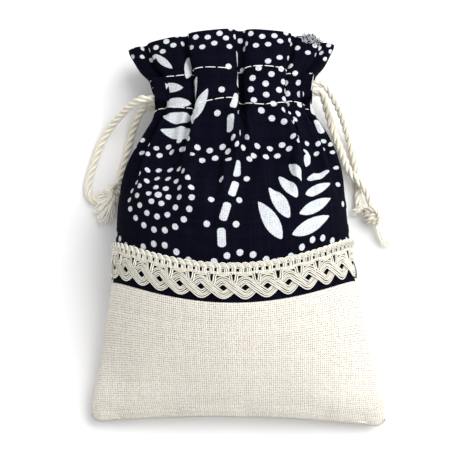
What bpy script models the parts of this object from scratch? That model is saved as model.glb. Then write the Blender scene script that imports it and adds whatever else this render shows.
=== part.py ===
"""Fabric gift sack: a small drawstring pouch lying on its back, full and half drawn shut.

The lower third is natural linen, the rest is printed cotton, and a band of lace hides their join.
Two cords run through the casing round the neck, one loop of cord coming out at each side.

Frame: +X to the right, +Y towards the neck, +Z up, and the sack rests on z = 0.
All sizes below are in millimetres and are scaled to metres when each mesh is made.
"""

import math

import bmesh
import bpy
from mathutils import Vector

MM = 0.001
GAP = 0.3

# ---- driving dimensions -------------------------------------------------------------------

FABRIC = 0.8
SACK_LENGTH = 129.0
LINEN_TOP = 31.5
LACE_BOTTOM, LACE_TOP = 32.5, 43.5
LACE_THICKNESS = 1.0
SHOULDER_BOTTOM = 80.0

CASING_BOTTOM, CASING_TOP = 102.0, 115.5
CASING_HALF_WIDTH = 26.3
PLEATS_FROM, PLEATS_TO = 6.5, 17.0
ROW_WIDTH = 0.6

NECK_Z = 14.0
MOUTH_HALF = 2.4
CHANNEL = 3.4

CORD_DIAMETER = 2.7
LEFT_CORD_Y, RIGHT_CORD_Y = 105.2, 108.8
EXIT_X = 28.5

SEAM_DEPTH = 6.5
SEAM_HALF_THICKNESS = 0.7
SEAM_ROOM = 1.6

CHANNEL_Z = MOUTH_HALF + FABRIC + CHANNEL / 2
CASING_OUTSIDE = MOUTH_HALF + FABRIC + CHANNEL + FABRIC

# Each profile is (distance from the bottom seam, value).
HALF_WIDTH = [(0, 49), (20, 45.5), (45, 40.3), (68, 38.7), (82, 35.7), (92, 31.8), (102, 26.3), (116, 28), (129, 36.2)]
SEAM_BOW = [(0, -2), (32, 10.5), (46, 11.5), (66, 8.5), (90, 2), (102, 0), (116, -0.5), (129, -3)]
SIDE_HEIGHT = [(0, 4), (20, 9.5), (45, 16.5), (70, 17.5), (90, 15.5), (102, 14)]
MIDDLE_HEIGHT = [(0, 9), (20, 13), (45, 18), (70, 18), (90, 16), (102, 14)]
FRONT_RISE = [(45, 20.5), (65, 20.5), (80, 18.2), (92, 12.3), (102, CASING_OUTSIDE - SEAM_ROOM)]
BACK_DROP = [(45, 17.6), (65, 17.6), (80, 16.2), (92, 12), (102, CASING_OUTSIDE - SEAM_ROOM)]
BACK_FLOOR = [(23, 0), (31, 1.4), (46, 1.4), (53, 0)]
BOTTOM_FILLS_BY = 45.0
FULLNESS = 0.85
HEADING_FLARE = [(116, 0), (129, 1.2)]
CENTRE_Y = (SACK_LENGTH + SEAM_BOW[0][1]) / 2

# Each drawstring end is a hand-laid route of (x, y, z) from the casing to its knot.
LEFT_UPPER_ROUTE = [
    (-28.5, 105.2, 18.9), (-30.8, 105.2, 18.3), (-34.6, 104.4, 13.6), (-38.2, 102.9, 8.0), (-41.4, 100.6, 4.0),
    (-44.2, 97.2, 2.1), (-46.3, 92.8, 1.6), (-47.9, 88.0, 1.5), (-49.4, 83.2, 1.5), (-50.0, 79.6, 1.5),
    (-49.3, 76.4, 1.7), (-47.4, 74.8, 2.4), (-45.2, 75.2, 3.4),
]
LEFT_LOWER_ROUTE = [
    (-28.5, 105.2, 9.1), (-30.5, 104.9, 8.6), (-32.9, 101.9, 5.2), (-35.0, 96.9, 2.4), (-36.6, 91.6, 1.6),
    (-37.9, 86.8, 1.6), (-38.9, 82.6, 2.2),
]
RIGHT_UPPER_ROUTE = [
    (28.5, 108.8, 18.9), (30.9, 108.3, 18.4), (34.0, 104.8, 13.8), (36.8, 100.7, 7.6), (38.8, 95.4, 3.4),
    (40.4, 89.2, 1.7), (41.6, 83.4, 1.5), (42.1, 78.4, 1.5), (41.5, 74.4, 1.5), (41.5, 71.4, 2.0),
    (42.0, 70.0, 2.6),
]
RIGHT_LOWER_ROUTE = [
    (28.5, 108.8, 9.1), (30.5, 108.2, 8.6), (32.0, 103.6, 5.6), (33.4, 98.6, 3.6), (35.2, 93.6, 2.2),
    (36.9, 88.6, 1.7), (38.4, 83.6, 2.6), (40.2, 80.2, 4.2), (42.3, 77.8, 4.8), (44.2, 75.2, 4.0),
    (45.2, 72.4, 4.0),
]
LEFT_KNOT, LEFT_KNOT_RADII = (-41.0, 77.4, 4.0), (4.0, 4.6, 3.6)
RIGHT_KNOT, RIGHT_KNOT_RADII = (45.8, 67.2, 4.0), (3.8, 4.2, 3.6)
LEFT_TASSEL_TIP, LEFT_TASSEL_SPREAD = (-46.2, 66.2, 2.3), 3.8
RIGHT_TASSEL_TIP, RIGHT_TASSEL_SPREAD = (52.0, 54.6, 2.3), 3.4
TASSEL_NECK = 1.5
TASSEL_FLATNESS = 0.55

SIDES = {"left": -1, "right": 1}
FACES = {"front": 1, "back": -1}


# ---- curves -------------------------------------------------------------------------------

def smooth(points, at):
    """The value at one place of the smooth curve through (place, value) points."""
    if at <= points[0][0]:
        return points[0][1]
    if at >= points[-1][0]:
        return points[-1][1]
    n = max(i for i, point in enumerate(points[:-1]) if point[0] <= at)
    (x0, y0), (x1, y1) = points[n], points[n + 1]

    def slope(i):
        low, high = max(i - 1, 0), min(i + 1, len(points) - 1)
        return (points[high][1] - points[low][1]) / (points[high][0] - points[low][0])

    t, span = (at - x0) / (x1 - x0), x1 - x0
    return (
        (2 * t**3 - 3 * t**2 + 1) * y0
        + (t**3 - 2 * t**2 + t) * span * slope(n)
        + (3 * t**2 - 2 * t**3) * y1
        + (t**3 - t**2) * span * slope(n + 1)
    )


def bottom_growth(y):
    """How much of its full thickness the sack has at a distance y from its bottom seam, from 0 to 1."""
    left = 1 - min(max(y, 0), BOTTOM_FILLS_BY) / BOTTOM_FILLS_BY
    return (1 - left**2) ** 0.75


def half_width(y):
    return smooth(HALF_WIDTH, y + smooth(SEAM_BOW, y))


def middle_height(y, u):
    """The height of the surface that holds the seams, from the side seams (u = 1) to the middle (u = 0)."""
    return smooth(SIDE_HEIGHT, y) * u * u + smooth(MIDDLE_HEIGHT, y) * (1 - u * u)


def sack_point(across, y, face):
    """A point on the sack's outside: across runs from 0 at the left seam to 1 at the right seam."""
    angle = math.pi * (1 - across)
    u = math.cos(angle)
    rise = smooth(FRONT_RISE if face > 0 else BACK_DROP, y) * bottom_growth(y)
    height = middle_height(y, u) + face * (SEAM_ROOM + rise * math.sin(angle) ** FULLNESS)
    return Vector((half_width(y) * u, y + smooth(SEAM_BOW, y) * u * u, max(height, smooth(BACK_FLOOR, y))))


def sack_point_lifted(across, y, face, lift):
    """The same point moved out along the surface's normal."""
    step = 0.002
    low, high = max(across - step, 0), min(across + step, 1)
    along = sack_point(high, y, face) - sack_point(low, y, face)
    up = sack_point(across, y + 0.2, face) - sack_point(across, y - 0.2, face)
    lifted = sack_point(across, y, face) + along.cross(up).normalized() * face * lift
    lifted.z = max(lifted.z, 0)
    return lifted


def smooth_route(points, spacing):
    """Points about this far apart on one smooth curve through a route's own points."""
    ends = [2 * Vector(points[0]) - Vector(points[1]), 2 * Vector(points[-1]) - Vector(points[-2])]
    through = [ends[0], *map(Vector, points), ends[1]]
    found = []
    for a, b, c, d in zip(through, through[1:], through[2:], through[3:]):
        count = max(1, round((c - b).length / spacing))
        for k in range(count):
            t = k / count
            found.append(
                (2 * b + (c - a) * t + (2 * a - 5 * b + 4 * c - d) * t**2 + (3 * b - a - 3 * c + d) * t**3) / 2
            )
    return [*found, Vector(points[-1])]


# ---- materials ----------------------------------------------------------------------------

def make_material(name, colour, roughness):
    material = bpy.data.materials.new(name)
    material.use_nodes = True
    shader = material.node_tree.nodes["Principled BSDF"]
    shader.inputs["Base Color"].default_value = (*colour, 1)
    shader.inputs["Roughness"].default_value = roughness
    shader.inputs["Metallic"].default_value = 0
    material.diffuse_color = (*colour, 1)
    return material


def linen(name):
    return make_material(name, (0.76, 0.69, 0.58), 0.9)


def printed_cotton(name):
    return make_material(name, (0.012, 0.012, 0.035), 0.85)


def cotton_lace(name):
    return make_material(name, (0.84, 0.79, 0.64), 0.85)


def sewing_thread(name):
    return make_material(name, (0.85, 0.82, 0.74), 0.6)


def cotton_cord(name):
    return make_material(name, (0.84, 0.77, 0.58), 0.85)


# ---- building blocks ----------------------------------------------------------------------

def add_object(name, data, material, collection):
    data.materials.append(material(name))
    obj = bpy.data.objects.new(name, data)
    collection.objects.link(obj)
    return obj


def place(point):
    """A point of this file, in the object's frame in metres."""
    return Vector((point[0], point[1] - CENTRE_Y, point[2])) * MM


def add_skin(name, point, columns, rows, outward, thickness, material, collection, centred=False):
    """A piece of cloth: the sheet point(s, t) for s and t from 0 to 1, made solid towards its inside."""
    bm = bmesh.new()
    bmesh.ops.create_grid(bm, x_segments=columns, y_segments=rows, size=0.5)
    for vertex in bm.verts:
        vertex.co = place(point(vertex.co.x + 0.5, vertex.co.y + 0.5))
    if outward < 0:
        bmesh.ops.reverse_faces(bm, faces=bm.faces)
    mesh = bpy.data.meshes.new(name)
    bm.to_mesh(mesh)
    bm.free()
    mesh.shade_smooth()
    obj = add_object(name, mesh, material, collection)
    solid = obj.modifiers.new("cloth_thickness", "SOLIDIFY")
    solid.thickness = thickness * MM
    solid.offset = 0 if centred else -1
    return obj


def add_block(name, low, high, material, collection):
    """A plain block between two corners."""
    bm = bmesh.new()
    bmesh.ops.create_cube(bm, size=1)
    for vertex in bm.verts:
        at = [low[i] + (vertex.co[i] + 0.5) * (high[i] - low[i]) for i in range(3)]
        vertex.co = place(at)
    mesh = bpy.data.meshes.new(name)
    bm.to_mesh(mesh)
    bm.free()
    return add_object(name, mesh, material, collection)


def add_cord(name, points, pivot, collection):
    """A round cord through these points, as a curve whose origin is its pivot."""
    curve = bpy.data.curves.new(name, "CURVE")
    curve.dimensions = "3D"
    curve.bevel_depth = CORD_DIAMETER / 2 * MM
    curve.bevel_resolution = 2
    curve.use_fill_caps = True
    spline = curve.splines.new("POLY")
    spline.points.add(len(points) - 1)
    origin = place(pivot)
    for slot, point in zip(spline.points, points):
        slot.co = (*(place(point) - origin), 1)
    obj = add_object(name, curve, cotton_cord, collection)
    obj.location = origin
    return obj


# ---- the sack -----------------------------------------------------------------------------

def add_body_panels(collection):
    """Linen bottom, printed middle and gathered shoulders, front and back."""
    for face_name, face in FACES.items():
        linen_band = (0.0, LINEN_TOP - GAP / 2)
        print_band = (LINEN_TOP + GAP / 2, SHOULDER_BOTTOM - GAP / 2)
        for kind, (low, high), rows, cloth in (
            ("linen", linen_band, 9, linen),
            ("print", print_band, 6, printed_cotton),
        ):
            add_skin(
                f"{kind}_{face_name}",
                lambda s, t, low=low, high=high, face=face: sack_point(s, low + (high - low) * t, face),
                20, rows, face, FABRIC, cloth, collection,
            )
        low, high = SHOULDER_BOTTOM + GAP / 2, CASING_BOTTOM - GAP
        for side_name, side in SIDES.items():
            first, last = (0, 0.4985) if side < 0 else (0.5015, 1)
            add_skin(
                f"shoulder_{face_name}_{side_name}",
                lambda s, t, first=first, last=last, face=face: sack_point(
                    first + (last - first) * s, low + (high - low) * t, face
                ),
                10, 4, face, FABRIC, printed_cotton, collection,
            )


def add_lace(collection):
    """The lace band over the join, a skin that stands proud of the panels."""
    for face_name, face in FACES.items():
        add_skin(
            f"lace_{face_name}",
            lambda s, t, face=face: sack_point_lifted(
                s, LACE_BOTTOM + (LACE_TOP - LACE_BOTTOM) * t, face, GAP + LACE_THICKNESS
            ),
            20, 2, face, LACE_THICKNESS, cotton_lace, collection,
        )


def add_seams(collection):
    """The side and bottom seam allowances, thin strips held between the edges of the panels."""
    top = CASING_BOTTOM - 3
    for side_name, side in SIDES.items():
        def side_strip(s, t, side=side):
            y = top * t
            inset = 0.5 + SEAM_DEPTH * (s if side < 0 else 1 - s)
            x = half_width(y) - inset
            u = x / half_width(y)
            return Vector((side * x, y + smooth(SEAM_BOW, y) * u * u, middle_height(y, u)))

        add_skin(
            f"side_seam_{side_name}", side_strip, 1, 14, 1, 2 * SEAM_HALF_THICKNESS, linen, collection, centred=True
        )

    reach = half_width(SEAM_DEPTH) - 0.5 - SEAM_DEPTH - 1.0

    def bottom_strip(s, t):
        x, y = reach * (2 * s - 1), 0.5 + SEAM_DEPTH * t
        u = x / half_width(y)
        return Vector((x, y + smooth(SEAM_BOW, y) * u * u, middle_height(y, u)))

    add_skin("bottom_seam", bottom_strip, 12, 1, 1, 2 * SEAM_HALF_THICKNESS, linen, collection, centred=True)


# ---- the neck -----------------------------------------------------------------------------

def neck_layer(face, inside, thickness):
    """The lowest and highest z of a layer that starts this far from the middle of the neck."""
    return sorted((NECK_Z + face * inside, NECK_Z + face * (inside + thickness)))


def add_casing(collection):
    """Casing and facing, front and back, with the pleats that give and the stiff hemmed ends."""
    for face_name, face in FACES.items():
        layers = {
            "casing": neck_layer(face, CASING_OUTSIDE - FABRIC, FABRIC),
            "facing": neck_layer(face, MOUTH_HALF, FABRIC),
        }
        for layer, (low_z, high_z) in layers.items():
            spans = {f"{layer}_{face_name}": (-PLEATS_FROM, PLEATS_FROM)}
            for side_name, side in SIDES.items():
                pleats = sorted((side * (PLEATS_FROM + GAP), side * PLEATS_TO))
                spans[f"{layer}_{face_name}_pleats_{side_name}"] = pleats
                if layer == "casing":
                    hem = sorted((side * (PLEATS_TO + GAP), side * CASING_HALF_WIDTH))
                    spans[f"casing_{face_name}_end_{side_name}"] = hem
            for name, (low_x, high_x) in spans.items():
                add_block(
                    name, (low_x, CASING_BOTTOM, low_z), (high_x, CASING_TOP, high_z), printed_cotton, collection
                )


def add_stitch_rows(collection):
    """The two rows of stitching that close the cord's channel, through both layers."""
    for face_name, face in FACES.items():
        low_z, high_z = neck_layer(face, MOUTH_HALF + FABRIC + GAP, CHANNEL - 2 * GAP)
        for row, y in (("lower", CASING_BOTTOM + 0.6), ("upper", CASING_TOP - 1.2)):
            add_block(
                f"{row}_stitching_{face_name}",
                (-PLEATS_TO, y, low_z),
                (PLEATS_TO, y + ROW_WIDTH, high_z),
                sewing_thread,
                collection,
            )


def heading_height(y):
    return CASING_OUTSIDE + smooth(HEADING_FLARE, y)


def add_heading(collection):
    """The ruffle above the casing: a plain middle, pleats on each side and an end that wraps each edge."""
    low, high = CASING_TOP + GAP, SACK_LENGTH
    for face_name, face in FACES.items():
        spans = {f"heading_{face_name}": (-PLEATS_FROM, PLEATS_FROM)}
        for side_name, side in SIDES.items():
            spans[f"heading_{face_name}_pleats_{side_name}"] = sorted((side * (PLEATS_FROM + GAP), side * PLEATS_TO))
        for name, (low_x, high_x) in spans.items():
            def sheet(s, t, low_x=low_x, high_x=high_x, face=face):
                y = low + (high - low) * t
                return Vector((low_x + (high_x - low_x) * s, y, NECK_Z + face * heading_height(y)))

            add_skin(name, sheet, 3, 4, face, FABRIC, printed_cotton, collection)

    for side_name, side in SIDES.items():
        def wrap(s, t, side=side):
            angle = math.pi * (s - 0.5)
            y = low + (high - low) * t
            reach = smooth(HALF_WIDTH, y) - PLEATS_TO - GAP
            x = PLEATS_TO + GAP + reach * math.cos(angle)
            drop = smooth(SEAM_BOW, y) * math.cos(angle)
            return Vector((side * x, y + drop * t, NECK_Z + heading_height(y) * math.sin(angle)))

        add_skin(f"heading_end_{side_name}", wrap, 10, 4, -side, FABRIC, printed_cotton, collection)


# ---- the drawstrings ----------------------------------------------------------------------

def add_drawstring_run(side_name, y, collection):
    """The hidden part of a drawstring: along the front casing, round its far end and back."""
    side = SIDES[side_name]
    straight = EXIT_X - 2 * GAP
    turn_x = CASING_HALF_WIDTH - 1.3 - CORD_DIAMETER / 2 - CHANNEL_Z
    steps = 7
    along = [straight - (straight + turn_x) * k / steps for k in range(steps)]
    there = [(side * x, y, NECK_Z + CHANNEL_Z) for x in along]
    turn = [
        (
            -side * (turn_x + CHANNEL_Z * math.sin(math.pi * k / 8)),
            y,
            NECK_Z + CHANNEL_Z * math.cos(math.pi * k / 8),
        )
        for k in range(9)
    ]
    back = [(x, y, 2 * NECK_Z - z) for x, y, z in reversed(there)]
    add_cord(f"{side_name}_drawstring_run", there + turn + back, (0, y, NECK_Z), collection)


def add_knot(name, centre, radii, collection):
    bm = bmesh.new()
    bmesh.ops.create_uvsphere(bm, u_segments=12, v_segments=8, radius=1)
    for vertex in bm.verts:
        vertex.co = place([centre[i] + radii[i] * vertex.co[i] for i in range(3)])
    mesh = bpy.data.meshes.new(name)
    bm.to_mesh(mesh)
    bm.free()
    mesh.shade_smooth()
    add_object(name, mesh, cotton_cord, collection)


def add_tassel(name, knot, radii, tip, spread, collection):
    """The frayed end of a drawstring below its knot: a flattened cone that opens towards its tip."""
    way = (Vector(tip) - Vector(knot)).normalized()
    start = Vector(knot) + way * (max(radii) + GAP)
    length = (Vector(tip) - start).length
    turn = way.to_track_quat("Z", "Y").to_matrix()
    bm = bmesh.new()
    bmesh.ops.create_cone(
        bm, cap_ends=True, segments=12, radius1=TASSEL_NECK, radius2=spread, depth=length
    )
    for vertex in bm.verts:
        out = turn @ Vector((vertex.co.x, vertex.co.y, 0))
        out.z *= TASSEL_FLATNESS
        vertex.co = place(start + way * (vertex.co.z + length / 2) + out)
    mesh = bpy.data.meshes.new(name)
    bm.to_mesh(mesh)
    bm.free()
    mesh.shade_smooth()
    add_object(name, mesh, cotton_cord, collection)


def add_drawstrings(collection):
    """Each drawstring: its run in the casing, two free strands, the knot that joins them and its tassel."""
    ends = {
        "left": (LEFT_CORD_Y, LEFT_UPPER_ROUTE, LEFT_LOWER_ROUTE, LEFT_KNOT, LEFT_KNOT_RADII,
                 LEFT_TASSEL_TIP, LEFT_TASSEL_SPREAD),
        "right": (RIGHT_CORD_Y, RIGHT_UPPER_ROUTE, RIGHT_LOWER_ROUTE, RIGHT_KNOT, RIGHT_KNOT_RADII,
                  RIGHT_TASSEL_TIP, RIGHT_TASSEL_SPREAD),
    }
    for side_name, (y, upper, lower, knot, radii, tip, spread) in ends.items():
        add_drawstring_run(side_name, y, collection)
        pivot = (SIDES[side_name] * EXIT_X, y, NECK_Z)
        for strand, route in (("upper", upper), ("lower", lower)):
            points = smooth_route(route, 2 * CORD_DIAMETER)
            add_cord(f"{side_name}_{strand}_strand", points, pivot, collection)
        add_knot(f"{side_name}_knot", knot, radii, collection)
        add_tassel(f"{side_name}_tassel", knot, radii, tip, spread, collection)


def main():
    for obj in list(bpy.data.objects):
        bpy.data.objects.remove(obj)
    collection = bpy.data.collections.new("fabric_gift_sack")
    bpy.context.scene.collection.children.link(collection)
    add_body_panels(collection)
    add_lace(collection)
    add_seams(collection)
    add_casing(collection)
    add_stitch_rows(collection)
    add_heading(collection)
    add_drawstrings(collection)


main()
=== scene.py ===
"""Looks of the fabric gift sack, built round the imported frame.

Lengths are in millimetres, apart from those handed straight to Blender. The sack's own coordinates are x to
the right, y from the bottom seam towards the neck and z up from the table. Cloth coordinates are s, round the
sack from the left seam over the front (0 to 100) and back under it (100 to 200), and v, from the bottom seam
to the top edge (0 to 140), both measured on the flat cloth.
"""

import math

import bpy
import numpy as np
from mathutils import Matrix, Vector


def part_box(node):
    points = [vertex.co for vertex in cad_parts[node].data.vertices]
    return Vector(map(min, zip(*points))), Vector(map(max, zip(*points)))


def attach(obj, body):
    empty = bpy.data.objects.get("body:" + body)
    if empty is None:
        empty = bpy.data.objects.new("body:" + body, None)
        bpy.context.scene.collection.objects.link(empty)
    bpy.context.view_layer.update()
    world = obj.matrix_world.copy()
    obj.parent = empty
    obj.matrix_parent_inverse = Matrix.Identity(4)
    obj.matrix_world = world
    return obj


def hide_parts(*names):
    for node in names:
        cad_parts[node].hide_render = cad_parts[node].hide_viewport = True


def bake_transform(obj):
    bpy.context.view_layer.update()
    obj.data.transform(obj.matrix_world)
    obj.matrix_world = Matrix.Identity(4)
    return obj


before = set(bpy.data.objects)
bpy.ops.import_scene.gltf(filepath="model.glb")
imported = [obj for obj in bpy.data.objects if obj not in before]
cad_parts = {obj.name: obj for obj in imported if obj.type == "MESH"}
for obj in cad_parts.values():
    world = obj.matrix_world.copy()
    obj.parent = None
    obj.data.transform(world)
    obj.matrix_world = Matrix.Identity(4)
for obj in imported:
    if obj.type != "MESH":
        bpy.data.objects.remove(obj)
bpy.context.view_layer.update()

MM = 0.001

# ---- sizes shared with the CAD ------------------------------------------------------------

SACK_LENGTH = 129.0
CENTRE_Y = SACK_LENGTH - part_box("heading_front")[1][1] / MM
NECK_Z = 14.0
CASING_BOTTOM, CASING_TOP = 102.0, 115.5
CORD_DIAMETER = 2.7
CHANNEL_Z = 4.9
EXIT_X = 28.5
LEFT_CORD_Y, RIGHT_CORD_Y = 105.2, 108.8

# ---- shape of the sack --------------------------------------------------------------------

PANEL_WIDTH, PANEL_LENGTH = 100.0, 140.0
GIRTH = 2 * PANEL_WIDTH
# The edges as they show, less than a millimetre above the CAD's.
LINEN_TOP, LACE_BOTTOM = 32.2, 33.3

# Profiles of (distance from the bottom seam, value).
HALF_WIDTH = [
    (0, 47.9), (4, 47.7), (9, 46.4), (15, 44.8), (26, 42.6), (42, 39.8), (59, 38.1), (68, 37.5),
    (82, 35.3), (92, 30.9), (102, 26.4), (113, 27.8), (118, 31.2), (123, 33.6), (129, 36.4),
]
SWAY = [(0, -1.2), (60, -1.4), (72, -0.9), (86, 0), (129, 0)]
SEAM_BOW = [(0, -2), (32, 10.5), (46, 11.5), (66, 8.5), (90, 2), (102, 0), (116, -0.5), (129, -3)]
SIDE_HEIGHT = [(0, 4), (20, 9.5), (45, 16.5), (70, 17.5), (90, 15.5), (102, 14), (129, 13)]
MIDDLE_HEIGHT = [(0, 9), (20, 13), (45, 18), (70, 18), (90, 16), (102, 14), (129, 13)]
FRONT_RISE = [(45, 21.4), (65, 21.6), (80, 19.6), (92, 15.4), (102, 12), (116, 11.4), (129, 8.5)]
BACK_DROP = [(45, 18.8), (65, 18.8), (80, 17.2), (92, 13.2), (102, 11.2), (116, 11), (129, 9.5)]
BOTTOM_FILLS_BY, BOTTOM_ROUNDNESS = 45.0, 0.75
FULLNESS, LEAST_RISE = 0.85, 0.4
# How sharply the cloth flattens where it meets the table.
TABLE_FIRMNESS = 2.5
# The bottom corners' rounding: how far, from which share of the half width, over which share, how far up.
CORNER_ROUNDING, CORNER_FROM, CORNER_WIDTH, CORNER_HEIGHT = 2.2, 0.93, 0.07, 8.0
# How far the heading's edge dips, at the middle and at the sides, and where the dip starts.
EDGE_DIP, EDGE_DIP_FROM = (1.3, 2.3), 106.0
# How steeply the bottom edge leans, and how far up the lean dies out.
BOTTOM_LEAN, BOTTOM_LEAN_TO = 0.045, 60.0

# Dents where the cloth is slack near the bottom corners: (x, y, radius, depth).
DENTS = [(-40, 12, 6, 1.6), (39, 10, 7, 1.2), (-20, 7, 8, 0.5), (12, 6, 9, 0.4)]

# Fold lines of the gathers: (place across the flat panel, share of the fold angle before it and after it).
FRONT_VALLEYS = [(10, 0.9, 0.9), (28, 0.8, 1.15), (54, 0.95, 0.9), (79, 1.15, 0.8), (92, 0.9, 0.9)]
BACK_VALLEYS = [(9, 1.0, 1.0), (25, 1.1, 0.9), (41, 0.9, 1.0), (58, 1.0, 1.1), (75, 1.0, 0.9), (91, 1.0, 1.0)]
VALLEY_SHARPNESS = 3.0
STEEPEST_FOLD = 2.6
FOLD_DEPTH = [(0, 1), (102, 0.8), (116, 0.75), (129, 0.5)]

# Each strand's route, given point by point from the casing's end into its knot.
LEFT_UPPER_ROUTE = [
    (-28.5, 105.2, 18.9), (-30.8, 105.2, 18.3), (-34.6, 104.4, 13.6), (-38.2, 102.9, 8.0),
    (-41.4, 100.6, 4.0), (-44.2, 97.2, 2.1), (-46.3, 92.8, 1.6), (-47.9, 88.0, 1.5), (-49.4, 83.2, 1.5),
    (-50.0, 79.6, 1.5), (-49.3, 76.4, 1.7), (-47.4, 74.9, 2.2), (-44.8, 75.4, 3.0), (-42.0, 76.6, 3.6),
]
LEFT_LOWER_ROUTE = [
    (-28.5, 105.2, 9.1), (-30.5, 104.9, 8.6), (-32.9, 101.9, 5.2), (-35.0, 96.9, 2.4), (-36.6, 91.6, 1.6),
    (-37.9, 86.8, 1.6), (-38.9, 82.6, 2.2), (-39.8, 79.6, 3.2),
]
RIGHT_UPPER_ROUTE = [
    (28.5, 108.8, 18.9), (30.9, 108.3, 18.4), (34.0, 104.8, 13.8), (36.8, 100.7, 7.6), (38.8, 95.4, 3.4),
    (40.4, 89.2, 1.7), (41.6, 83.4, 1.5), (42.1, 78.4, 1.5), (41.5, 74.4, 1.5), (41.5, 71.4, 2.0),
    (42.6, 69.6, 2.8), (44.4, 68.8, 3.6),
]
RIGHT_LOWER_ROUTE = [
    (28.5, 108.8, 9.1), (30.5, 108.2, 8.6), (32.0, 103.6, 5.6), (33.4, 98.6, 3.6), (35.2, 93.6, 2.2),
    (36.9, 88.6, 1.7), (38.4, 83.6, 2.6), (40.2, 80.2, 4.2), (42.3, 77.8, 4.8), (44.2, 75.2, 4.0),
    (45.2, 72.4, 4.0), (45.6, 69.8, 4.0),
]
LEFT_KNOT, LEFT_KNOT_SIZE, LEFT_KNOT_HEADING = (-40.6, 77.0, 3.7), 3.3, 70
RIGHT_KNOT, RIGHT_KNOT_SIZE, RIGHT_KNOT_HEADING = (46.2, 66.8, 3.8), 3.5, -55
LEFT_TASSEL_TIP, RIGHT_TASSEL_TIP = (-46.0, 68.0, 2.3), (51.6, 56.0, 2.3)

# The cord in the casing is squeezed thinner, reaches this far past its exit and turns round at this x.
CORD_IN_CASING, RUN_BEYOND_EXIT, RUN_TURN_X = 2.4, 0.7, 18.75
PLIES, CORD_PITCH = 3, 9.0
HAIRS_PER_STRAND = 40
KNOT_CORD, KNOT_PITCH, KNOT_TURNS = 2.1, 5.5, 2.6
# The strand that crosses over a knot: shares of the knot's size along it, across it and up.
KNOT_BRIDGE = [(-0.9, -0.5, 0.2), (-0.45, 0.1, 0.85), (0.1, 0.35, 0.95), (0.7, 0.1, 0.7), (1.0, -0.4, 0.1)]
FRAY_RADIUS = 0.3

# ---- cloth --------------------------------------------------------------------------------

COLUMNS, ROWS = 128, 91
# Metres in the solver for each millimetre here: it works on a sack twenty times as large.
SIM_SCALE = 0.02
SIM_FRAMES = 24
CLOTH_THICKNESS = 0.35
BOTTOM_FOLD = 0.6
MESH_STEP, LINEN_STEP = 0.5, 0.6
# Millimetres of cloth and of yarn to texture coordinates.
CLOTH_UV, YARN_UV = 0.01, 0.1
GROOVE_DEPTH, GROOVE_WIDTH = 0.45, 0.6
SLIT_FROM, SLIT_TO, SLIT_HALF_HEIGHT = 103.4, 112.6, 7.2
NECK_LINE = 102.5
UNDER_LINEN = 2.0
# The facing lies this far behind the casing and keeps this share of its height. Where the cords pass, it
# gives up this much more of it and keeps this share of its width.
FACING_BEHIND, FACING_HEIGHT, FACING_SQUEEZE, FACING_REACH = 0.7, 0.92, 0.66, 0.64
STITCH_RADIUS, STITCH_LENGTHS, STITCH_GAPS = 0.15, (3.0, 4.0), (0.1, 0.25)
STITCHES_FROM, STITCHES_TO = 1.0, 4.2
# The two rows of stitches: (v, how far it wanders, length of its wave).
STITCH_ROWS = {"lower": (111.8, 1.3, 37.0), "upper": (123.8, 0.7, 29.0)}
# The frayed corner of the hem, at the right of the heading. Every third thread of it is navy.
TUFT_AT, TUFT_SPREAD, TUFT_THREADS = (86.0, 139.0), (1.5, 0.7), 90

# ---- camera and light ---------------------------------------------------------------------

CAMERA_ELEVATION, CAMERA_TURN = 77.0, -1.6
CAMERA_DISTANCE, CAMERA_LENS = 560.0, 130.0
CAMERA_TARGET = (-1.4, 61.4, 8.0)
WORLD_STRENGTH = 0.72
# In metres and watts.
KEY_LIGHT_AT, KEY_LIGHT_SIZE, KEY_LIGHT_POWER = (0.36, 0.14, 0.54), 0.62, 5.0
FLOOR_SIZE, FLOOR_BELOW = 6, 0.0001


# ---- curves and surfaces ------------------------------------------------------------------

def smooth(points, at):
    """Values of the smooth curve through (place, value) points."""
    xs = np.array([p[0] for p in points], float)
    ys = np.array([p[1] for p in points], float)
    at = np.clip(at, xs[0], xs[-1])
    n = np.clip(np.searchsorted(xs, at, side="right") - 1, 0, len(xs) - 2)
    low, high = np.maximum(np.arange(len(xs)) - 1, 0), np.minimum(np.arange(len(xs)) + 1, len(xs) - 1)
    slope = (ys[high] - ys[low]) / (xs[high] - xs[low])
    span = xs[n + 1] - xs[n]
    t = (at - xs[n]) / span
    return (
        (2 * t**3 - 3 * t**2 + 1) * ys[n]
        + (t**3 - 2 * t**2 + t) * span * slope[n]
        + (3 * t**2 - 2 * t**3) * ys[n + 1]
        + (t**3 - t**2) * span * slope[n + 1]
    )


def smooth_step(x, low, high):
    t = np.clip((np.asarray(x, float) - low) / (high - low), 0, 1)
    return t * t * (3 - 2 * t)


def unit(vectors):
    return vectors / np.maximum(np.linalg.norm(vectors, axis=-1), 1e-9)[..., None]


def running_length(points):
    return np.concatenate([[0], np.cumsum(np.linalg.norm(np.diff(points, axis=0), axis=1))])


def place(points):
    """Points of this script in the row frame, in metres."""
    return (np.asarray(points, float) - (0, CENTRE_Y, 0)) * MM


def along_route(route, spacing):
    """Points this far apart on the smooth curve through a route's points."""
    route = np.asarray(route, float)
    through = np.concatenate([[2 * route[0] - route[1]], route, [2 * route[-1] - route[-2]]])
    fine = []
    t = np.linspace(0, 1, 40, endpoint=False)[:, None]
    for a, b, c, d in zip(through, through[1:], through[2:], through[3:]):
        square, cube = 2 * a - 5 * b + 4 * c - d, 3 * b - a - 3 * c + d
        fine.append((2 * b + (c - a) * t + square * t**2 + cube * t**3) / 2)
    fine = np.concatenate([*fine, route[-1:]])
    length = running_length(fine)
    at = np.linspace(0, length[-1], max(2, round(length[-1] / spacing)) + 1)
    return np.stack([np.interp(at, length, fine[:, k]) for k in range(3)], axis=1)


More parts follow.
